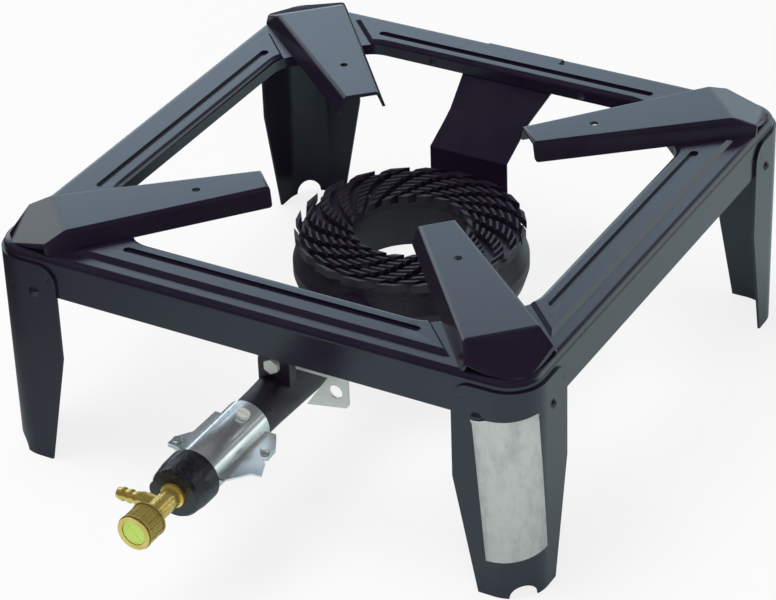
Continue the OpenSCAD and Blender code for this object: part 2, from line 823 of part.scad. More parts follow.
module clamp_bores() {
    clamp_places() cylinder(r = clamp_r + seat, h = 4 * sleeve_t, center = true);
}

module lock_place() {
    translate([0, -lock_y, axis_z]) rotate([0, lock_turn, 0]) children();
}

module air_sleeve_upper() {
    color(chrome) placed() difference() {
        sleeve_half(true);
        lock_place() cylinder(r = lock_r + seat, h = 2 * tube_r);
        clamp_bores();
    }
}

module air_sleeve_lower() {
    color(chrome) placed() difference() {
        translate([0, 0, 2 * axis_z]) mirror([0, 0, 1]) sleeve_half(false);
        clamp_bores();
    }
}

clamp_stack = split / 2 + sleeve_t;
clamp_nut_t = 2.6;

module sleeve_clamp_screws() {
    color(chrome) placed() clamp_places() translate([0, 0, clamp_stack + seat]) {
        cylinder(r = 2 * clamp_r, h = clamp_nut_t - seat);
        translate([0, 0, -2 * clamp_stack - clamp_nut_t - cut])
            cylinder(r = clamp_r, h = 2 * clamp_stack + clamp_nut_t + cut + lap);
    }
}

module sleeve_clamp_nuts() {
    color(chrome) placed() clamp_places() translate([0, 0, -clamp_stack - seat - clamp_nut_t])
        hex_nut(clamp_r, clamp_nut_t);
}

module sleeve_lock_screw() {
    head_z = sleeve_out + seat;
    color(chrome) placed() lock_place() difference() {
        union() {
            translate([0, 0, tube_r + seat]) cylinder(r = lock_r, h = sleeve_out - tube_r);
            translate([0, 0, head_z]) cylinder(r = lock_head_r, h = lock_head_t);
        }
        translate([-lock_head_r - cut, -lock_slot_w / 2, head_z + lock_head_t / 2])
            cube([2 * lock_head_r + 2 * cut, lock_slot_w, lock_head_t]);
    }
}

// Jet holder and jet

socket_r = 5.6;
socket_len = 6;
side_boss_r = 8;
side_boss_x = 12;
side_boss_drop = 3;
jet_bore_r = 0.6;
jet_flange_r = 5.6;
nose_start = sleeve_front + seat;
nose_shares = [[0.95, 0], [1, 0.05], [0.99, 0.5], [0.92, 0.9], [0.84, 1]];

module nose_profile() {
    long = tube_end + nose_len - nose_start;
    polygon(concat([[0, 0]], [for (p = nose_shares) [nose_r * p[0], long * p[1]]], [[0, long]]));
}

module jet_holder() {
    color(black) placed() difference() {
        union() {
            out_front(tube_end - spigot_len, spigot_len + lap, tube_bore_r - seat);
            out_front(tube_end + seat, sleeve_over + lap, tube_r - seat);
            translate([0, -nose_start, axis_z]) rotate([90, 0, 0]) rotate_extrude()
                nose_profile();
            translate([-side_boss_x, -nose_start - nose_len / 3, axis_z - side_boss_drop])
                rotate([90, 0, 0]) cylinder(r = side_boss_r, h = nose_len / 2);
        }
        out_front(tube_end - spigot_len - cut, nose_len + spigot_len, jet_r + seat);
        out_front(tube_end + nose_len - socket_len, socket_len + cut, socket_r + seat);
    }
}

module jet() {
    back = tube_end - 2 * spigot_len;
    color(brass) placed() difference() {
        union() {
            out_front(back, spigot_len - seat, jet_flange_r);
            out_front(back + lap, 2 * spigot_len + nose_len - socket_len - cut, jet_r);
        }
        out_front(back - cut, spigot_len, jet_bore_r);
        out_front(back + spigot_len / 2, nose_len + spigot_len, jet_r / 2);
    }
}

// Valve

stem_r = 2.4;
stem_gap = 0.05;
stem_clear = 0.3;
seat_bore_r = 1.2;
chamber_r = 3.2;
chamber_len = 13;
needle_len = 4;
needle_tip_r = 0.5;
collar_r = 8.5;
collar_t = 2;
side_arm_r = 6;
side_arm_len = 4;
gas_bore_r = 2;
tail_r = 3.5;
tail_len = 5;
barb_hex_r = 5.8;
barb_hex_t = 5;
barb_rise = 0.9;
barb_root_r = barb_r - barb_rise;
barb_back = 13.5;
valve_y0 = tube_end + nose_len;
barb_y = valve_y0 + barb_back;
barb_face = valve_r + side_arm_len;
nut_y0 = valve_y0 + valve_len + seat;
seat_y = nut_y0 - seat - chamber_len;
knob_y0 = nut_y0 + nut_len + seat;
stem_in_knob = 10;
seal_t = 2;
seal_depth = 4;
rim_w = 3.8;
insert_r = knob_r - rim_w;
insert_t = 3;
insert_recess = 0.8;
insert_slot_w = 2;
insert_turn = 38;
grip_t = 1.2;
ring_t = 1.4;
grip_rise = 0.6;
root_r = knob_r - grip_rise;
back_t = 2;
back_r = knob_r - back_t;

module pipe_out(x, length, r) {
    translate([-x, -barb_y, axis_z]) rotate([0, -90, 0]) cylinder(r = r, h = length);
}

module valve_body() {
    color(brass) placed() difference() {
        union() {
            out_front(valve_y0 - socket_len + seat, socket_len + valve_len, socket_r);
            out_front(valve_y0 + seat, valve_len - seat, valve_r);
            out_front(valve_y0 + seat, collar_t, collar_r);
            pipe_out(0, barb_face, side_arm_r);
        }
        out_front(valve_y0 - socket_len - cut, stand_w, seat_bore_r);
        out_front(seat_y, stand_w, chamber_r);
        pipe_out(0, half, gas_bore_r);
        pipe_out(barb_face - tail_len - cut, half, tail_r + seat);
    }
}

module barb_profile(step) {
    polygon([[0, 0.1 * step], [barb_r, 0.1 * step], [barb_r, 0.35 * step],
        [barb_root_r - seat, 0.95 * step], [0, 0.95 * step]]);
}

module hose_barb() {
    step = (barb_reach - barb_face - seat - barb_hex_t) / 3;
    start = barb_face + seat;
    color(brass) placed() difference() {
        union() {
            pipe_out(start - tail_len, tail_len + lap, tail_r);
            translate([-start, -barb_y, axis_z]) rotate([0, -90, 0]) {
                cylinder(r = barb_hex_r, h = barb_hex_t, $fn = 6);
                translate([0, 0, barb_hex_t - lap]) cylinder(r = barb_root_r, h = 3 * step + lap);
                for (i = [0:2]) translate([0, 0, barb_hex_t + step * i])
                    rotate_extrude() barb_profile(step);
            }
        }
        pipe_out(0, half, gas_bore_r);
    }
}

module packing_nut() {
    color(brass) placed() difference() {
        out_front(nut_y0, nut_len, valve_r);
        out_front(nut_y0 - cut, nut_len + 2 * cut, stem_r + stem_clear);
    }
}

module stem_seal() {
    color(rubber) placed() difference() {
        out_front(nut_y0 - seal_depth, seal_t, chamber_r - seat);
        out_front(nut_y0 - seal_depth - cut, seal_t + 2 * cut, stem_r + stem_gap);
    }
}

module valve_stem() {
    start = seat_y + needle_len - cut;
    color(brass) placed() {
        out_front(start, knob_y0 + stem_in_knob - start, stem_r);
        translate([0, lap - start - lap, axis_z]) rotate([-90, 0, 0])
            cylinder(r1 = stem_r, r2 = needle_tip_r, h = needle_len);
    }
}

module knob_grip(i) {
    long = knob_len - back_t - 2 * ring_t;
    translate([0, -knob_y0 - back_t - ring_t, axis_z]) rotate([90, 360 / knurl_count * i, 0])
        translate([knob_r - grip_t, 0, 0]) rotate(45)
            translate([-grip_t / 2, -grip_t / 2, 0]) cube([grip_t, grip_t, long]);
}

module knob() {
    color(brass) placed() difference() {
        union() {
            out_front(knob_y0, back_t + lap, back_r);
            out_front(knob_y0 + back_t, knob_len - back_t, root_r);
            out_front(knob_y0 + back_t, ring_t, knob_r);
            out_front(knob_y0 + knob_len - 2 * ring_t, ring_t, knob_r);
            for (i = [0:knurl_count - 1]) knob_grip(i);
        }
        out_front(knob_y0 - cut, cut + stem_in_knob + seat, stem_r + stem_gap);
        out_front(knob_y0 + knob_len - insert_t, stand_w, insert_r + seat);
    }
}

module knob_insert() {
    color(lime) placed() difference() {
        out_front(knob_y0 + knob_len - insert_t + seat, insert_t - seat - insert_recess, insert_r);
        translate([0, 2 * insert_recess - knob_y0 - knob_len - insert_t, axis_z]) rotate([0, -insert_turn, 0])
            translate([-insert_slot_w / 2, 0, insert_slot_w - insert_r])
                cube([insert_slot_w, insert_t, 2 * insert_r - 2 * insert_slot_w]);
    }
}

top_frame();
pan_support(-135);  // pan_support_front_left
pan_support(-45);  // pan_support_front_right
pan_support(45);  // pan_support_rear_right
pan_support(135);  // pan_support_rear_left
leg(3);  // leg_front_left
leg(0);  // leg_front_right
leg(1);  // leg_rear_right
leg(2);  // leg_rear_left
leg_rivets();
rear_strap();
rear_strap_rivets();
rear_strap_screws();
front_bracket();
front_bracket_rivets();
front_bracket_screw();
front_bracket_nut();
burner_bowl();
burner_head();
burner_head_screws();
jet_holder();
jet();
air_sleeve_upper();
air_sleeve_lower();
sleeve_clamp_screws();
sleeve_clamp_nuts();
sleeve_lock_screw();
valve_body();
hose_barb();
packing_nut();
stem_seal();
valve_stem();
knob();
knob_insert();
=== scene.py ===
import json
from math import pi, radians

import bmesh
import bpy
from mathutils import Matrix, Vector


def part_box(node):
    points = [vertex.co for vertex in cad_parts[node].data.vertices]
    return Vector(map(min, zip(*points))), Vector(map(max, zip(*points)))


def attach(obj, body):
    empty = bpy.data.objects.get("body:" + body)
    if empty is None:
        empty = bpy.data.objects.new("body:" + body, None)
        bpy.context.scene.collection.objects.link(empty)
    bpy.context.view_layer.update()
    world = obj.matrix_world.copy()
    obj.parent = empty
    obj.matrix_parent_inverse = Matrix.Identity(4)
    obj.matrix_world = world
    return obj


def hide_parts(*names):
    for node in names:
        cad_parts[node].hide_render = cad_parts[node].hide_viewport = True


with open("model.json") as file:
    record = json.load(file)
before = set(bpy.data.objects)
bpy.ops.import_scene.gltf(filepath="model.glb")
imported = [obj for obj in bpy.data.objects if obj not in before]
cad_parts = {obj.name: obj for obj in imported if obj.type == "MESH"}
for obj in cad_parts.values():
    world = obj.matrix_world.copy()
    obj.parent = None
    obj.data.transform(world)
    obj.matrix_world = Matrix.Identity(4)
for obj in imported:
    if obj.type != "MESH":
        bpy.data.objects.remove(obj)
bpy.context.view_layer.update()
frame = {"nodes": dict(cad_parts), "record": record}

nodes = frame["nodes"]
mm = 0.001
standMiddle = 69.0      # y of the stand's middle, in mm
print("frame loaded:", len(nodes), "parts")

camera = {
    "place": (0.9081, -1.5049, 1.2001),
    "turn": 30.31,        # degrees to the left of +Y
    "tilt": 32.07,        # degrees below the horizon
    "roll": -2.14,
    "focal": 141.81, "sensor": 36, "reach": 60,
}


def placeCamera():
    data = bpy.data.cameras.new("photoCamera")
    data.sensor_width = camera["sensor"]
    data.lens = camera["focal"]
    data.clip_end = camera["reach"]
    view = bpy.data.objects.new("photoCamera", data)
    turn = Matrix.Rotation(radians(camera["turn"]), 4, "Z")
    tilt = Matrix.Rotation(radians(90 - camera["tilt"]), 4, "X")
    roll = Matrix.Rotation(radians(camera["roll"]), 4, "Z")
    view.matrix_world = Matrix.Translation(camera["place"]) @ turn @ tilt @ roll
    bpy.context.scene.collection.objects.link(view)
    bpy.context.scene.camera = view


placeCamera()
print("camera placed")


# Shader wiring: a Wire is an output socket that can be used in sums

class Wire:
    def __init__(self, finish, socket):
        self.finish = finish
        self.socket = socket

    def maths(self, operation, *values):
        return self.finish.add("ShaderNodeMath", {"operation": operation}, dict(enumerate(values)))

    def __add__(self, other):
        return self.maths("ADD", self, other)

    def __sub__(self, other):
        return self.maths("SUBTRACT", self, other)

    def __rsub__(self, other):
        return self.maths("SUBTRACT", other, self)

    def __mul__(self, other):
        return self.maths("MULTIPLY", self, other)

    def __truediv__(self, other):
        return self.maths("DIVIDE", self, other)

    __radd__ = __add__
    __rmul__ = __mul__

    def absolute(self):
        return self.maths("ABSOLUTE", self)

    def sine(self):
        return self.maths("SINE", self)

    # The long side of a right-angled triangle, and the angle opposite this side
    def distance(self, other):
        return self.maths("SQRT", self * self + other * other)

    def angleFrom(self, other):
        return self.maths("ARCTAN2", self, other)

    # 0 below low, 1 above high, smooth between
    def band(self, low, high, unit=1.0):
        return self.finish.add("ShaderNodeMapRange", {"interpolation_type": "SMOOTHSTEP"},
                               {0: self, 1: low * unit, 2: high * unit, 3: 0.0, 4: 1.0})


class Finish:
    def __init__(self, name, world=None):
        self.block = world or bpy.data.materials.new(name)
        self.block.use_nodes = True
        self.tree = self.block.node_tree
        self.tree.nodes.clear()

    def add(self, kind, settings, inputs, output=0):
        node = self.tree.nodes.new(kind)
        for key, value in settings.items():
            if key == "stops":
                ramp = node.color_ramp
                while len(ramp.elements) < len(value):
                    ramp.elements.new(1.0)
                for element, (spot, colour) in zip(ramp.elements, value):
                    element.position = spot
                    element.color = colour
            else:
                setattr(node, key, value)
        for key, value in inputs.items():
            socket = node.inputs[key]
            if isinstance(value, Wire):
                self.tree.links.new(value.socket, socket)
            else:
                socket.default_value = value
        return Wire(self, node.outputs[output])

    def place(self, output="Object"):
        return self.add("ShaderNodeTexCoord", {}, {}, output)

    def axes(self, at=None):
        split = self.add("ShaderNodeSeparateXYZ", {}, {0: at or self.place()})
        return [Wire(self, socket) for socket in split.socket.node.outputs]

    def stretched(self, scale):
        return self.add("ShaderNodeMapping", {}, {"Vector": self.place(), "Scale": scale})

    def noise(self, scale, detail=3.0, rough=0.55, at=None):
        inputs = {"Vector": at or self.place(), "Scale": scale, "Detail": detail, "Roughness": rough}
        return self.add("ShaderNodeTexNoise", {}, inputs, "Fac")

    def mix(self, amount, first, second):
        return self.add("ShaderNodeMix", {"data_type": "RGBA"}, {0: amount, 6: first, 7: second}, 2)

    def ramp(self, amount, *stops):
        return self.add("ShaderNodeValToRGB", {"stops": stops}, {0: amount})

    def ray(self, kind):
        return self.add("ShaderNodeLightPath", {}, {}, kind)

    def bump(self, height, depth, strength, under=None):
        inputs = {"Height": height, "Distance": depth, "Strength": strength}
        if under:
            inputs["Normal"] = under
        return self.add("ShaderNodeBump", {}, inputs)

    def link(self, shader, kind):
        end = self.tree.nodes.new(kind)
        self.tree.links.new(shader.socket, end.inputs[0])

    def surface(self, **inputs):
        keys = {key.replace("_", " "): value for key, value in inputs.items()}
        self.link(self.add("ShaderNodeBsdfPrincipled", {}, keys), "ShaderNodeOutputMaterial")
        return self.block


def tone(red, green, blue):
    return (red, green, blue, 1.0)


# Finishes: a noise is given by its scale, detail and roughness, and a bump by its depth and strength

enamelLook = {
    "deep": tone(0.0115, 0.0066, 0.0185), "worn": tone(0.020, 0.019, 0.026),
    "cloud": (22, 4), "cloudy": (0.35, 0.75), "cloudWorn": 0.35, "cloudRough": 0.08,
    "dust": (90, 5, 0.7), "dusty": (0.58, 0.82), "dustWorn": 0.3, "dustRough": 0.04,
    "rough": 0.18, "ior": 1.6, "tint": tone(0.84, 1.0, 1.02),
    "peel": (620, 2), "peelShare": 0.1, "bump": (0.0011, 0.35),
    "dents": ((182.9, 136.0), (153.9, 148.0)),      # mm from the stand's middle, and height
    "dentEdge": (0.63, 2.1),
}


def enamel(name, dented=False):
    look = enamelLook
    paint = Finish(name)
    cloud = paint.noise(*look["cloud"])
    dust = paint.noise(*look["dust"]).band(*look["dusty"])
    height = paint.noise(*look["peel"]) * look["peelShare"]
    if dented:     # two small round press marks on each leaf of a leg
        x, y, z = paint.axes()
        across = x.maths("MINIMUM", x.absolute(), (y - standMiddle * mm).absolute())
        for spot, level in look["dents"]:
            away = (across - spot * mm).distance(z - level * mm)
            height = height + away.band(*look["dentEdge"], unit=mm)
    worn = cloud.band(*look["cloudy"]) * look["cloudWorn"] + dust * look["dustWorn"]
    rough = cloud * look["cloudRough"] + dust * look["dustRough"] + look["rough"]
    return paint.surface(Base_Color=paint.mix(worn, look["deep"], look["worn"]), Roughness=rough,
                         IOR=look["ior"], Specular_Tint=look["tint"],
                         Normal=paint.bump(height, *look["bump"]))


ironLook = {
    "deep": tone(0.0135, 0.0085, 0.0185), "rub": tone(0.033, 0.036, 0.046),
    "grain": (420, 5, 0.65), "rubbed": (0.5, 0.72), "rubShare": 0.6, "skin": (0.0005, 0.5),
    "rough": 0.3, "grainRough": 0.22, "ior": 1.55,
    "lumps": (110, 3), "bump": (0.0008, 0.35),
}


def castIron(name):
    look = ironLook
    iron = Finish(name)
    grain = iron.noise(*look["grain"])
    rubbed = grain.band(*look["rubbed"]) * look["rubShare"]
    skin = iron.bump(grain, *look["skin"])
    return iron.surface(Base_Color=iron.mix(rubbed, look["deep"], look["rub"]),
                        Roughness=grain * look["grainRough"] + look["rough"], IOR=look["ior"],
                        Normal=iron.bump(iron.noise(*look["lumps"]), *look["bump"], skin))


castingLook = {
    "deep": tone(0.007, 0.007, 0.010), "rub": tone(0.018, 0.02, 0.026),
    "grain": (300, 4, 0.6), "rubbed": (0.45, 0.7), "bump": (0.0006, 0.4),
    "rough": 0.2, "grainRough": 0.18, "ior": 1.6,
}


def blackCasting(name):
    look = castingLook
    cast = Finish(name)
    grain = cast.noise(*look["grain"])
    return cast.surface(Base_Color=cast.mix(grain.band(*look["rubbed"]), look["deep"], look["rub"]),
                        Roughness=grain * look["grainRough"] + look["rough"], IOR=look["ior"],
                        Normal=cast.bump(grain, *look["bump"]))


zincLook = {
    "dull": tone(0.78, 0.82, 0.76), "bright": tone(0.92, 0.94, 0.90),
    "cloud": (60, 4), "cloudy": (0.3, 0.7), "spangle": 420.0, "spangleShare": 0.05,
    "metal": 0.4, "rough": 0.34, "cloudRough": 0.16, "bump": (0.0003, 0.2),
}


def zincPlate(name):
    look = zincLook
    zinc = Finish(name)
    inputs = {"Vector": zinc.place(), "Scale": look["spangle"]}
    spangle = zinc.add("ShaderNodeTexVoronoi", {}, inputs, "Color")
    cloud = zinc.noise(*look["cloud"])
    colour = zinc.mix(cloud.band(*look["cloudy"]), look["dull"], look["bright"])
    return zinc.surface(Base_Color=zinc.mix(look["spangleShare"], colour, spangle),
                        Metallic=look["metal"], Roughness=cloud * look["cloudRough"] + look["rough"],
                        Normal=zinc.bump(cloud, *look["bump"]))


chromeLook = {
    "clean": tone(0.92, 0.95, 0.95), "smeared": tone(0.76, 0.84, 0.84),
    "smear": (35, 4), "smeary": (0.42, 0.75), "smearRough": 0.12,
    "drawn": (40, 3, 0.6), "stretch": (30.0, 0.6, 30.0), "drawnRough": 0.10,
    "metal": 0.9, "rough": 0.12, "bump": (0.0001, 0.2),
}


def chromeSheet(name):
    look = chromeLook
    chrome = Finish(name)
    drawn = chrome.noise(*look["drawn"], chrome.stretched(look["stretch"]))
    smear = chrome.noise(*look["smear"])
    rough = smear * look["smearRough"] + drawn * look["drawnRough"] + look["rough"]
    return chrome.surface(Base_Color=chrome.mix(smear.band(*look["smeary"]), look["clean"], look["smeared"]),
                          Metallic=look["metal"], Roughness=rough, Normal=chrome.bump(drawn, *look["bump"]))


brassLook = {
    # The dark groove tone is painted shade for the bottoms of the knurl's grooves, which are only a bump
    "bright": tone(1.0, 0.78, 0.25), "dull": tone(0.82, 0.60, 0.15), "groove": tone(0.34, 0.24, 0.06),
    "cloud": (120, 4), "cloudy": (0.3, 0.75), "cloudRough": 0.14, "metal": 0.85,
}
lathe = {"rings": 1500.0, "rough": 0.2, "bump": (0.00004, 0.4)}
knurl = {
    "count": 42, "lead": 3500.0,        # cuts round the knob, and their slant
    "side": (10.3, 10.9), "front": (0.5, 1.0),      # mm from the knob's axis and from its face
    "grooved": (-1.6, -0.8), "rough": 0.24, "bump": (0.0005, 0.6),
}


def brassSurface(brass, look, height, grooves=None):
    cloud = brass.noise(*brassLook["cloud"])
    colour = brass.mix(cloud.band(*brassLook["cloudy"]), brassLook["bright"], brassLook["dull"])
    # Painted shade: the brass turns to the dark groove tone where the knurl's bump is deepest
    if grooves:
        colour = brass.mix(grooves, colour, brassLook["groove"])
    return brass.surface(Base_Color=colour, Metallic=brassLook["metal"],
                         Roughness=cloud * brassLook["cloudRough"] + look["rough"],
                         Normal=brass.bump(height, *look["bump"]))


def turnedBrass(name):
    brass = Finish(name)
    y = brass.axes()[1]
    return brassSurface(brass, lathe, (y * lathe["rings"]).sine())


def knurledBrass(name):
    brass = Finish(name)
    x, y, z = brass.axes()
    low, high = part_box("knob")
    across = x - (low[0] + high[0]) / 2
    up = z - (low[2] + high[2]) / 2
    turn = up.angleFrom(across) * knurl["count"]
    slant = y * knurl["lead"]
    front = low[1] / mm
    side = across.distance(up).band(*knurl["side"], unit=mm)
    side = side * y.band(*(front + level for level in knurl["front"]), unit=mm)
    height = ((turn + slant).sine() * (turn - slant).sine() - 1) * side
    return brassSurface(brass, knurl, height, 1 - height.band(*knurl["grooved"]))


limeLook = {
    "deep": tone(0.60, 0.86, 0.10), "pale": tone(0.72, 0.92, 0.26), "cloud": (260, 3),
    "rough": 0.3, "cloudRough": 0.15, "ior": 1.48, "bump": (0.0001, 0.3),
}


def limeMoulding(name):
    look = limeLook
    lime = Finish(name)
    cloud = lime.noise(*look["cloud"])
    return lime.surface(Base_Color=lime.mix(cloud, look["deep"], look["pale"]),
                        Roughness=cloud * look["cloudRough"] + look["rough"], IOR=look["ior"],
                        Normal=lime.bump(cloud, *look["bump"]))


rubberLook = {"black": tone(0.02, 0.02, 0.02), "grain": (500, 2), "rough": 0.6, "grainRough": 0.2}


def sealRubber(name):
    look = rubberLook
    rubber = Finish(name)
    rough = rubber.noise(*look["grain"]) * look["grainRough"] + look["rough"]
    return rubber.surface(Base_Color=look["black"], Roughness=rough)


filmLook = {
    "clean": tone(0.60, 0.64, 0.62), "grimy": tone(0.37, 0.42, 0.40),
    "streak": (34, 5, 0.7), "stretch": (2.2, 2.2, 0.9), "streaky": (0.42, 0.7), "streakGrime": 0.55,
    "mottle": (150, 4, 0.7), "mottled": (0.45, 0.75), "mottleGrime": 0.35, "mottleRough": 0.2,
    "rough": 0.34, "ior": 1.45, "bump": (0.0002, 0.25),
}


def paleFilm(name):
    look = filmLook
    film = Finish(name)
    streak = film.noise(*look["streak"], film.stretched(look["stretch"]))
    mottle = film.noise(*look["mottle"])
    grime = streak.band(*look["streaky"]) * look["streakGrime"]
    grime = grime + mottle.band(*look["mottled"]) * look["mottleGrime"]
    return film.surface(Base_Color=film.mix(grime, look["clean"], look["grimy"]),
                        Roughness=mottle * look["mottleRough"] + look["rough"], IOR=look["ior"],
                        Normal=film.bump(streak, *look["bump"]))


finishes = {
    "black_enamel": enamel("blackEnamel"),
    "iron": castIron("castIron"),
    "black_casting": blackCasting("blackCasting"),
    "zinc": zincPlate("zincPlate"),
    "chrome": chromeSheet("chromeSheet"),
    "brass": turnedBrass("turnedBrass"),
    "rubber": sealRubber("sealRubber"),
    "lime_plastic": limeMoulding("limeMoulding"),
}
print("finishes made:", len(finishes))

legs =("leg_front_left", "leg_front_right", "leg_rear_right", "leg_rear_left")
ownFinish = dict.fromkeys(legs, enamel("legEnamel", dented=True))
ownFinish["knob"] = knurledBrass("knurledBrass")
ownFinish["sleeve_lock_screw"] = finishes["zinc"]
slotOf = {part["node"]: part["material_slot"] for part in frame["record"]["subparts"]}
bodyOf = {name: body for body, names in frame["record"]["behaviour"]["bodies"].items() for name in names}


def finishOf(name):
    return ownFinish.get(name, finishes[slotOf[name]])


for name, node in nodes.items():
    node.data.materials.clear()
    node.data.materials.append(finishOf(name))
print("finishes given to", len(nodes), "parts")


def newPiece(name, bm, node, finish):
    mesh = bpy.data.meshes.new(name)
    bm.to_mesh(mesh)
    bm.free()
    piece = bpy.data.objects.new(name, mesh)
    bpy.context.scene.collection.objects.link(piece)
    mesh.materials.append(finish)
    mesh.shade_smooth()
    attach(piece, bodyOf[node])
    return piece


# Edges: each bend is rounded by up to the width given, in mm, and less where its faces are narrow

edgeRound = {
    "top_frame": 2.0, "pan_support_front_left": 0.5, "pan_support_front_right": 0.5,
    "pan_support_rear_right": 0.5, "pan_support_rear_left": 0.5, "leg_front_left": 0.7,
    "leg_front_right": 0.7, "leg_rear_right": 0.7, "leg_rear_left": 0.7, "rear_strap": 0.5,
    "front_bracket": 0.5, "burner_bowl": 1.5, "burner_head": 1.1, "jet_holder": 2.0,
    "air_sleeve_upper": 0.5, "air_sleeve_lower": 0.5, "valve_body": 0.5, "hose_barb": 0.3,
    "sleeve_lock_screw": 0.4, "sleeve_clamp_screws": 0.4, "sleeve_clamp_nuts": 0.3,
    "packing_nut": 0.5, "knob_insert": 0.3, "knob": 0.35, "rear_strap_screws": 0.5,
    "front_bracket_screw": 0.4, "front_bracket_nut": 0.4, "burner_head_screws": 0.4,
}
edgeRule = {
    "bend": 24,                     # degrees, from which an edge is rounded
    "slope": 8, "least": 0.5,       # or from this many, where it has more room than this
    "share": 0.4,                   # of the reach of the face beside it
    "corner": 0.45, "turn": 0.6,    # of an edge that leaves its end at more than this sine
    "faint": 0.02,                  # with less of the width than this, the shading stays sharp
    "short": 1.3,                   # shorter bends of sheet are the rims of small holes, and stay sharp
    "segments": 3,
}
sheetParts = ("pan_support", "rear_strap", "top_frame")

# Parts whose names start so get a radius at their folds and free corners first, also in mm
foldRound = {"pan_support": 3.2, "rear_strap": 2.0}
foldRule = {
    "bend": 5,                      # degrees
    "room": 0.7,                    # of the radius, which a fold needs beside it
    "sheet": 2.2, "inner": 0.6,     # an inner fold has the radius less the sheet, and at least this
    "segments": 5,
}
cleanRule = {"merge": 0.002, "sliver": 0.004, "passes": 4, "level": 0.4}    # mm, mm, and degrees last


def longest(face):
    return max(face.edges, key=lambda edge: edge.calc_length())


def cleanMesh(name):
    # A triangle without width has no normal of its own, so it joins the face at its longest edge
    bm = bmesh.new()
    bm.from_mesh(nodes[name].data)
    bmesh.ops.remove_doubles(bm, verts=bm.verts, dist=cleanRule["merge"] * mm)
    for attempt in range(cleanRule["passes"]):
        flat = {longest(face) for face in bm.faces
                if face.calc_area() < cleanRule["sliver"] * mm * longest(face).calc_length()}
        flat = [edge for edge in flat if len(edge.link_faces) == 2]
        if not flat:
            break
        bmesh.ops.dissolve_edges(bm, edges=flat, use_verts=False, use_face_split=False)
    bm.normal_update()
    bmesh.ops.dissolve_limit(bm, angle_limit=radians(cleanRule["level"]), verts=bm.verts, edges=bm.edges)
    # Where more than two faces meet at an edge they are parted, so that each keeps its own normal
    bmesh.ops.split_edges(bm, edges=[edge for edge in bm.edges if len(edge.link_faces) > 2])
    return bm


def isBend(edge, least):
    return len(edge.link_faces) == 2 and edge.calc_face_angle(0.0) > radians(least)


def roomAt(edge, most):
    start = edge.verts[0].co
    along = (edge.verts[1].co - start).normalized()
    room = most
    for face in edge.link_faces:
        reach = max(along.cross(corner.co - start).length for corner in face.verts)
        room = min(room, edgeRule["share"] * reach)
        for corner in edge.verts:
            for side in corner.link_edges:
                if side != edge and side in face.edges:
                    step = side.other_vert(corner).co - corner.co
                    turn = along.cross(step.normalized()).length
                    if turn > edgeRule["turn"]:
                        room = min(room, edgeRule["corner"] * step.length * turn)
    return room


def roundFolds(bm, radius):
    inner = max(radius - foldRule["sheet"], foldRule["inner"])
    for convex, size in ((True, radius), (False, inner)):
        wide = [edge for edge in bm.edges if isBend(edge, foldRule["bend"]) and edge.is_convex == convex
                and roomAt(edge, radius * mm) > foldRule["room"] * radius * mm]
        bmesh.ops.bevel(bm, geom=wide, offset=size * mm, offset_type="OFFSET", profile=0.5,
                        segments=foldRule["segments"], affect="EDGES", clamp_overlap=True, material=-1)


def weighEdges(bm, width, isSheet):
    weight = bm.edges.layers.float.new("bevel_weight_edge")
    for edge in bm.edges:
        edge.smooth = True
        bend = isBend(edge, edgeRule["bend"])
        if isSheet and bend and edge.calc_length() < edgeRule["short"] * mm:
            edge.smooth = False
        elif bend or isBend(edge, edgeRule["slope"]) and roomAt(edge, width) > edgeRule["least"] * mm:
            edge[weight] = roomAt(edge, width) / width
            edge.smooth = edge[weight] > edgeRule["faint"]


def rounded(name, width):
    bm = cleanMesh(name)
    for start, radius in foldRound.items():
        if name.startswith(start):
            roundFolds(bm, radius)
    weighEdges(bm, width * mm, name.startswith(sheetParts))
    piece = newPiece(name + "Shell", bm, name, finishOf(name))
    bevel = piece.modifiers.new("edges", "BEVEL")
    bevel.width = width * mm
    bevel.segments = edgeRule["segments"]
    bevel.limit_method = "WEIGHT"
    bevel.face_strength_mode = "FSTR_ALL"
    flat = piece.modifiers.new("flat faces", "WEIGHTED_NORMAL")
    flat.use_face_influence = True
    flat.weight = 100
    flat.keep_sharp = True
    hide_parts(name)


for name, width in edgeRound.items():
    rounded(name, width)
print("edges rounded:", len(edgeRound))


# Pale bare panel wrapped round the fold of the front right leg

panelLook = {
    "radius": 26.0, "off": 0.12, "thick": 0.2, "steps": 14,     # the leg's fold has a radius of 25.9
    "left": ((162.5, 134.0), (171.0, 27.0)),        # x and z on the front leaf
    "right": ((-185.0, 139.0), (-177.0, 33.0)),     # y from the stand's middle and z on the right leaf
    "bottom": 20.0, "height": 140.0, "past": (4.0, 40.0), "merge": 0.01,        # the strip it is cut from
    "rivetIn": 36.0, "dome": (1.5, 7.0), "rise": 2.3,       # the rivet head under its top corner
    "grain": 0.9, "cuts": 8, "near": 60.0,      # the fine mesh that follows the rivet head
}


def onStand(x, y, z):
    return Vector((x, y + standMiddle, z)) * mm


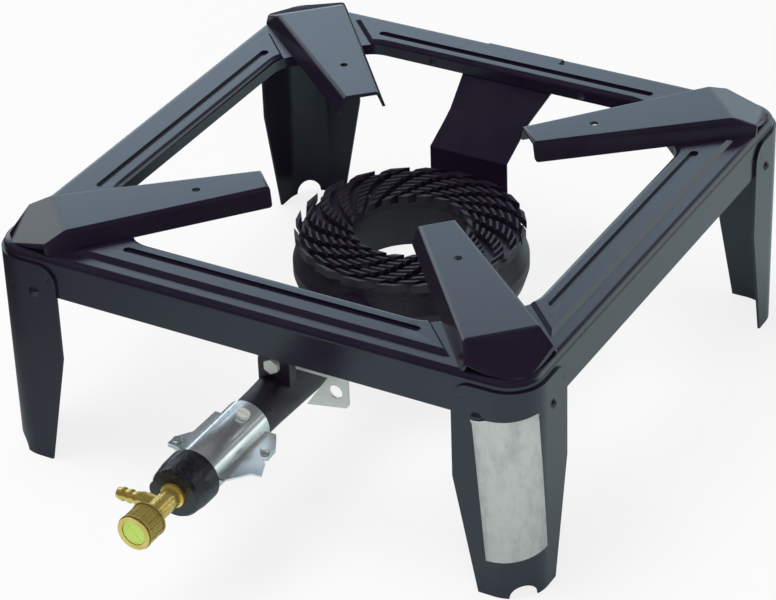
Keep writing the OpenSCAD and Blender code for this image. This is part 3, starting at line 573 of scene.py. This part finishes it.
def panelStrip(out):
    look = panelLook
    before, after = look["past"]
    inner = out - look["radius"]
    bm = bmesh.new()
    start = bm.verts.new(onStand(look["left"][0][0] - before, -out, look["bottom"]))
    end = bm.verts.new(onStand(inner, -out, look["bottom"]))
    bm.edges.new((start, end))
    made = bmesh.ops.spin(bm, geom=[end], cent=onStand(inner, -inner, look["bottom"]), axis=(0, 0, 1),
                          angle=radians(90), steps=look["steps"])
    last = next(item for item in made["geom_last"] if isinstance(item, bmesh.types.BMVert))
    grown = bmesh.ops.extrude_vert_indiv(bm, verts=[last])
    bmesh.ops.translate(bm, verts=grown["verts"], vec=(0, after * mm, 0))
    bmesh.ops.remove_doubles(bm, verts=bm.verts, dist=look["merge"] * mm)
    grown = bmesh.ops.extrude_edge_only(bm, edges=bm.edges[:])
    risen = [item for item in grown["geom"] if isinstance(item, bmesh.types.BMVert)]
    bmesh.ops.translate(bm, verts=risen, vec=(0, 0, look["height"] * mm))
    return bm


def trimPanel(bm, out):
    (x1, z1), (x2, z2) = panelLook["left"]
    (y3, z3), (y4, z4) = panelLook["right"]
    slope = (z3 - z1) / ((out + y3) - (x1 - out))
    rise = (z4 - z2) / ((out + y4) - (x2 - out))
    cuts = (((x1, -out, z1), (z2 - z1, 0, x1 - x2)), ((out, y3, z3), (0, z3 - z4, y4 - y3)),
            ((x1, -out, z1), (-slope, -slope, 1)), ((x2, -out, z2), (rise, rise, -1)))
    for spot, aside in cuts:
        bmesh.ops.bisect_plane(bm, geom=bm.verts[:] + bm.edges[:] + bm.faces[:], plane_co=onStand(*spot),
                               plane_no=Vector(aside).normalized(), clear_outer=True)


def domePanel(bm, rivet):
    look = panelLook
    for step in range(-look["cuts"], look["cuts"] + 1):
        for aside in (Vector((1, 0, 0)), Vector((0, 0, 1))):
            faces = {face for face in bm.faces
                     if (face.calc_center_median() - rivet).length < look["near"] * mm}
            edges = {edge for face in faces for edge in face.edges}
            corners = {corner for face in faces for corner in face.verts}
            bmesh.ops.bisect_plane(bm, geom=list(faces | edges | corners), plane_no=aside,
                                   plane_co=rivet + aside * step * look["grain"] * mm)
    full, none = look["dome"]
    for corner in bm.verts:
        lift = min(max(((corner.co - rivet).length / mm - none) / (full - none), 0.0), 1.0)
        corner.co.y -= look["rise"] * mm * lift * lift * (3 - 2 * lift)


def palePanel():
    look = panelLook
    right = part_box("leg_front_right")[1][0] / mm
    out = right + look["off"]
    bm = panelStrip(out)
    trimPanel(bm, out)
    low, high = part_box("leg_rivets")
    domePanel(bm, onStand(right - look["rivetIn"], -out, (low[2] + high[2]) / 2 / mm))
    bmesh.ops.recalc_face_normals(bm, faces=bm.faces)
    first = next(iter(bm.faces))
    if first.normal.dot(first.calc_center_median() - onStand(0, 0, look["bottom"])) < 0:
        bmesh.ops.reverse_faces(bm, faces=bm.faces)
    piece = newPiece("paleLegPanel", bm, "leg_front_right", paleFilm("palePanel"))
    wall = piece.modifiers.new("thickness", "SOLIDIFY")
    wall.thickness = look["thick"] * mm
    wall.offset = 1


palePanel()
print("pale panel made")


# Studio: pale paper on the floor, a big soft lamp above, a weaker one in front, and a wall all round

studio = {
    "span": 5.0, "drop": 0.0002, "paper": tone(0.84, 0.84, 0.84),
    "white": 0.82, "mirror": 0.26,      # how much the floor glows for the camera and for shiny parts
    # What shiny parts see of the paper darkens towards the left
    "paperLean": (0.8, -0.2), "paperSeen": (-0.36, 0.06),
    "paperDark": tone(0.03, 0.03, 0.03), "paperGlow": tone(0.62, 0.73, 0.74),
    # Heights above the horizon in degrees, and how bright it is over the wall
    "wallTop": (29.0, 38.0), "haze": 0.15, "hazeTop": (46.0, 60.0), "dim": 0.04,
    # The wall's brightness, and its tone at degrees from +X towards +Y
    "wallGlow": 2.7,
    "wall": ((18, tone(0.02, 0.02, 0.02)), (34, tone(0.52, 0.54, 0.54)), (62, tone(0.52, 0.54, 0.54)),
             (90, tone(0.28, 0.33, 0.36)), (106, tone(0.34, 0.42, 0.46)), (122, tone(0.52, 0.64, 0.76)),
             (134, tone(0.60, 0.70, 0.80)), (152, tone(0.62, 0.64, 0.64)), (176, tone(0.02, 0.02, 0.02))),
    "top": {"place": (-0.9, -0.6, 4.0), "aim": (0.0, 0.0, 0.1), "size": (2.6, 2.6), "glow": 6.4},
    "fill": {"place": (1.7, -2.7, 1.5), "aim": (0.0, 0.0, 0.1), "size": (2.4, 2.4), "glow": 2.0},
}
white = tone(1, 1, 1)


def makeFloor():
    bm = bmesh.new()
    bmesh.ops.create_grid(bm, x_segments=1, y_segments=1, size=studio["span"])
    mesh = bpy.data.meshes.new("studioFloor")
    bm.to_mesh(mesh)
    bm.free()
    floor = bpy.data.objects.new("studioFloor", mesh)
    floor.location.z = -studio["drop"]
    bpy.context.scene.collection.objects.link(floor)
    paper = Finish("paperFloor")
    x, y = paper.axes()[:2]
    right, back = studio["paperLean"]
    fade = (x * right + y * back).band(*studio["paperSeen"])
    seen = paper.ray("Is Camera Ray")
    mirrored = paper.ray("Is Glossy Ray")
    dark = paper.mix(fade, studio["paperDark"], studio["paperGlow"])
    diffuse = paper.add("ShaderNodeBsdfDiffuse", {}, {0: paper.mix(mirrored, studio["paper"], dark)})
    glow = paper.add("ShaderNodeEmission", {}, {0: paper.mix(mirrored, white, dark), 1: 1.0})
    share = seen * studio["white"] + mirrored * studio["mirror"]
    paper.link(paper.add("ShaderNodeMixShader", {}, {0: share, 1: diffuse, 2: glow}),
               "ShaderNodeOutputMaterial")
    mesh.materials.append(paper.block)


def makeSky():
    world = bpy.data.worlds.new("studioWorld")
    bpy.context.scene.world = world
    sky = Finish("studioWorld", world)
    x, y, z = sky.axes(sky.place("Generated"))
    turn = y.angleFrom(x) / (2 * pi) + 0.5
    height = z.maths("ARCSINE", z)
    wall = 1 - height.band(*studio["wallTop"], unit=radians(1))
    over = height.band(*studio["hazeTop"], unit=radians(1))
    haze, dim = (tone(level, level, level) for level in
                 (studio[key] / studio["wallGlow"] for key in ("haze", "dim")))
    stops = ((angle / 360 + 0.5, tint) for angle, tint in studio["wall"])
    colour = sky.mix(wall, sky.mix(over, haze, dim), sky.ramp(turn, *stops))
    seen = sky.ray("Is Camera Ray")
    strength = (1 - seen) * (studio["wallGlow"] - 1) + 1
    sky.link(sky.add("ShaderNodeBackground", {}, {0: sky.mix(seen, colour, white), 1: strength}),
             "ShaderNodeOutputWorld")


def lamp(name):
    look = studio[name]
    wide, tall = look["size"]
    data = bpy.data.lights.new(name + "Lamp", "AREA")
    data.shape = "RECTANGLE"
    data.size = wide
    data.size_y = tall
    data.energy = look["glow"] * pi * wide * tall
    light = bpy.data.objects.new(name + "Lamp", data)
    light.location = look["place"]
    aim = Vector(look["aim"]) - Vector(look["place"])
    light.rotation_euler = aim.to_track_quat("-Z", "Y").to_euler()
    light.visible_glossy = False
    bpy.context.scene.collection.objects.link(light)


makeFloor()
makeSky()
lamp("top")
lamp("fill")
print("studio lit")

bpy.context.scene.view_settings.view_transform = "Standard"
